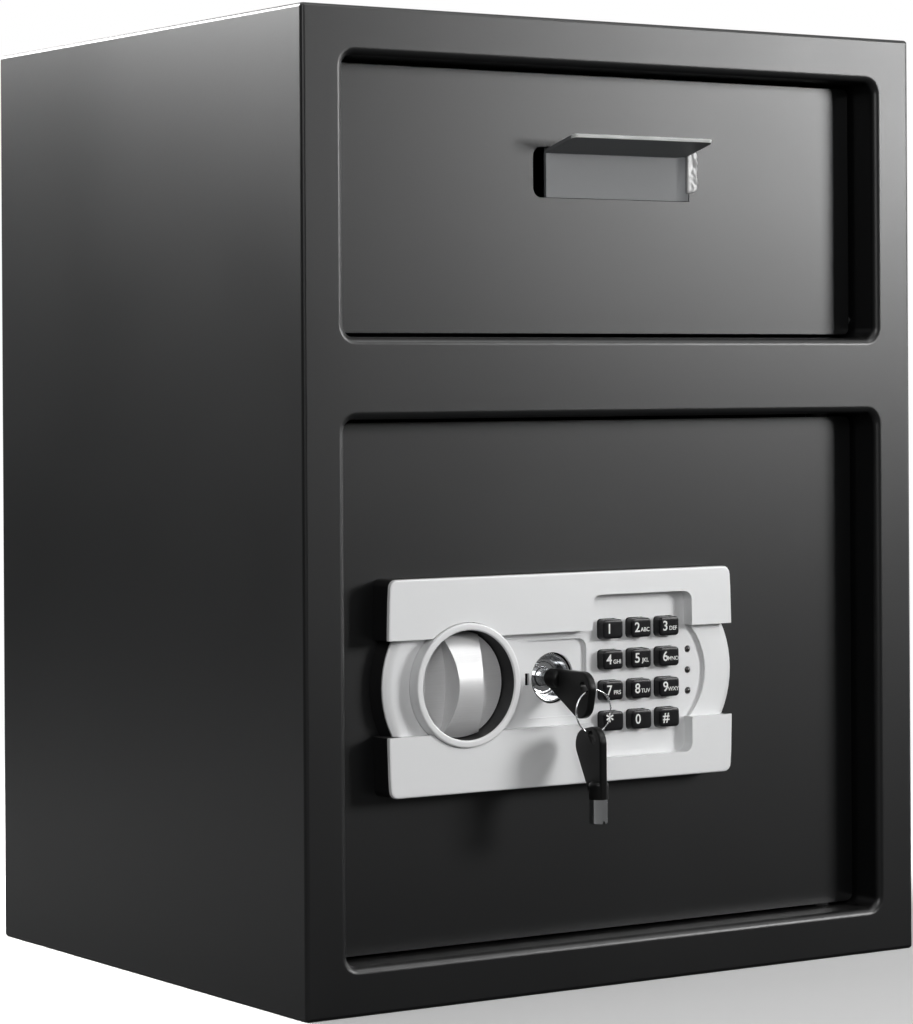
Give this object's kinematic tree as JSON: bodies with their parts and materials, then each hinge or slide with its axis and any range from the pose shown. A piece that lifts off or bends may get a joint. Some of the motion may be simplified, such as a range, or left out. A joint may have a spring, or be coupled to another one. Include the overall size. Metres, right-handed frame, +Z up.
{
  "type": "drop safe with deposit drawer",
  "caption": "Steel drop safe with a tilt-out deposit hopper above and a hinged lower door carrying a keypad lock, turn knob and override key.",
  "frame": {"origin": "centre of the underside of the body, on the surface that the safe stands on", "axes": "X points right as seen from the front, Y points from the front to the back, Z points up"},
  "size_m": [0.39, 0.3578, 0.5],
  "materials": {
    "black_powder_coat": "satin black powder coat on sheet steel",
    "grey_painted_steel": "satin mid-grey paint on sheet steel",
    "silver_painted_plastic": "silver paint on moulded plastic, satin",
    "satin_silver_knob": "satin silver plated plastic",
    "black_plastic": "moulded black plastic",
    "gloss_black_button": "glossy black moulded buttons with printed white digits",
    "zinc_plated_steel": "bright zinc plating",
    "chrome": "polished chrome",
    "key_plastic": "black moulded key head",
    "circuit_board": "green solder mask",
    "led_lens": "unlit dark lens",
    "cell_wrap": "plain shrink wrap without print",
    "red_plastic": "red moulded plastic"
  },
  "bodies": {
    "safe_body": {"body_shell": "black_powder_coat", "back_panel": "black_powder_coat", "front_frame": "black_powder_coat", "drop_baffle": "black_powder_coat"},
    "hopper": {"hopper_panel": "black_powder_coat", "hopper_tray": "zinc_plated_steel", "hopper_cheek_left": "zinc_plated_steel", "hopper_cheek_right": "zinc_plated_steel", "hopper_pin_left": "zinc_plated_steel", "hopper_pin_right": "zinc_plated_steel", "deposit_handle": "grey_painted_steel"},
    "door": {"door_plate": "black_powder_coat", "hinge_knuckle_upper": "zinc_plated_steel", "hinge_knuckle_lower": "zinc_plated_steel", "lock_housing": "black_plastic", "lock_faceplate": "silver_painted_plastic", "keypad_board": "circuit_board", "status_led_1": "led_lens", "status_led_2": "led_lens", "status_led_3": "led_lens", "knob_ring": "satin_silver_knob", "lock_cylinder": "chrome", "solenoid_body": "zinc_plated_steel", "battery_box": "black_plastic", "battery_cell_1": "cell_wrap", "battery_cell_2": "cell_wrap", "battery_cell_3": "cell_wrap", "battery_cell_4": "cell_wrap", "lock_cover": "black_powder_coat", "cover_screw_1": "zinc_plated_steel", "cover_screw_2": "zinc_plated_steel", "cover_screw_3": "zinc_plated_steel", "cover_screw_4": "zinc_plated_steel"},
    "knob": {"dial_knob": "satin_silver_knob", "knob_crank": "zinc_plated_steel"},
    "boltwork": {"bolt_carriage": "zinc_plated_steel", "live_bolt_upper": "zinc_plated_steel", "live_bolt_lower": "zinc_plated_steel"},
    "plunger": {"solenoid_plunger": "zinc_plated_steel"},
    "key_core": {"key_plug": "chrome", "lock_cam": "zinc_plated_steel", "key_bow": "key_plastic", "key_tube": "zinc_plated_steel"},
    "ring": {"key_ring": "zinc_plated_steel"},
    "spare_key": {"spare_key_bow": "key_plastic", "spare_key_tube": "zinc_plated_steel"},
    "key_pad_1": {"button_1": "gloss_black_button"},
    "key_pad_2": {"button_2": "gloss_black_button"},
    "key_pad_3": {"button_3": "gloss_black_button"},
    "key_pad_4": {"button_4": "gloss_black_button"},
    "key_pad_5": {"button_5": "gloss_black_button"},
    "key_pad_6": {"button_6": "gloss_black_button"},
    "key_pad_7": {"button_7": "gloss_black_button"},
    "key_pad_8": {"button_8": "gloss_black_button"},
    "key_pad_9": {"button_9": "gloss_black_button"},
    "key_pad_star": {"button_star": "gloss_black_button"},
    "key_pad_0": {"button_0": "gloss_black_button"},
    "key_pad_hash": {"button_hash": "gloss_black_button"},
    "reset": {"reset_button": "red_plastic"},
    "lid": {"battery_lid": "black_plastic"}
  },
  "joints": [
    {"name": "hopper_tilt", "type": "hinge", "parent": "safe_body", "child": "hopper", "pos_m": [0, -0.1396, 0.346], "axis": [1, 0, 0], "range_deg": [0, 50]},
    {"name": "door_swing", "type": "hinge", "parent": "safe_body", "child": "door", "pos_m": [0.1505, -0.138, 0.15975], "axis": [0, 0, 1], "range_deg": [0, 100]},
    {"name": "knob_turn", "type": "hinge", "parent": "door", "child": "knob", "pos_m": [-0.0962, -0.15, 0.16], "axis": [0, -1, 0], "range_deg": [0, 80]},
    {"name": "bolt_throw", "type": "slide", "parent": "door", "child": "boltwork", "axis": [-1, 0, 0], "range_m": [0, 0.0201]},
    {"name": "plunger_lift", "type": "slide", "parent": "door", "child": "plunger", "axis": [0, 0, 1], "range_m": [0, 0.004]},
    {"name": "key_turn", "type": "hinge", "parent": "door", "child": "key_core", "pos_m": [-0.0373, -0.1424, 0.16], "axis": [0, 1, 0], "range_deg": [0, 90]},
    {"name": "ring_swing", "type": "hinge", "parent": "key_core", "child": "ring", "pos_m": [-0.0343, -0.18337, 0.1557], "axis": [1, 0, 0], "range_deg": [-8, 6]},
    {"name": "spare_swing", "type": "hinge", "parent": "ring", "child": "spare_key", "pos_m": [-0.0343, -0.18337, 0.1343], "axis": [1, 0, 0], "range_deg": [-8, 6]},
    {"name": "press_1", "type": "slide", "parent": "door", "child": "key_pad_1", "axis": [0, 1, 0], "range_m": [0, 0.001], "stiffness_N_per_m": 400, "springref_m": -0.001},
    {"name": "press_2", "type": "slide", "parent": "door", "child": "key_pad_2", "axis": [0, 1, 0], "range_m": [0, 0.001], "stiffness_N_per_m": 400, "springref_m": -0.001},
    {"name": "press_3", "type": "slide", "parent": "door", "child": "key_pad_3", "axis": [0, 1, 0], "range_m": [0, 0.001], "stiffness_N_per_m": 400, "springref_m": -0.001},
    {"name": "press_4", "type": "slide", "parent": "door", "child": "key_pad_4", "axis": [0, 1, 0], "range_m": [0, 0.001], "stiffness_N_per_m": 400, "springref_m": -0.001},
    {"name": "press_5", "type": "slide", "parent": "door", "child": "key_pad_5", "axis": [0, 1, 0], "range_m": [0, 0.001], "stiffness_N_per_m": 400, "springref_m": -0.001},
    {"name": "press_6", "type": "slide", "parent": "door", "child": "key_pad_6", "axis": [0, 1, 0], "range_m": [0, 0.001], "stiffness_N_per_m": 400, "springref_m": -0.001},
    {"name": "press_7", "type": "slide", "parent": "door", "child": "key_pad_7", "axis": [0, 1, 0], "range_m": [0, 0.001], "stiffness_N_per_m": 400, "springref_m": -0.001},
    {"name": "press_8", "type": "slide", "parent": "door", "child": "key_pad_8", "axis": [0, 1, 0], "range_m": [0, 0.001], "stiffness_N_per_m": 400, "springref_m": -0.001},
    {"name": "press_9", "type": "slide", "parent": "door", "child": "key_pad_9", "axis": [0, 1, 0], "range_m": [0, 0.001], "stiffness_N_per_m": 400, "springref_m": -0.001},
    {"name": "press_star", "type": "slide", "parent": "door", "child": "key_pad_star", "axis": [0, 1, 0], "range_m": [0, 0.001], "stiffness_N_per_m": 400, "springref_m": -0.001},
    {"name": "press_0", "type": "slide", "parent": "door", "child": "key_pad_0", "axis": [0, 1, 0], "range_m": [0, 0.001], "stiffness_N_per_m": 400, "springref_m": -0.001},
    {"name": "press_hash", "type": "slide", "parent": "door", "child": "key_pad_hash", "axis": [0, 1, 0], "range_m": [0, 0.001], "stiffness_N_per_m": 400, "springref_m": -0.001},
    {"name": "reset_press", "type": "slide", "parent": "door", "child": "reset", "axis": [0, -1, 0], "range_m": [0, 0.0015], "stiffness_N_per_m": 300, "springref_m": -0.001},
    {"name": "lid_slide", "type": "slide", "parent": "door", "child": "lid", "axis": [-1, 0, 0], "range_m": [0, 0.056]}
  ],
  "couplings": [
    {"joint": "bolt_throw", "follows": "knob_turn", "m_per_rad": 0.014324}
  ]
}
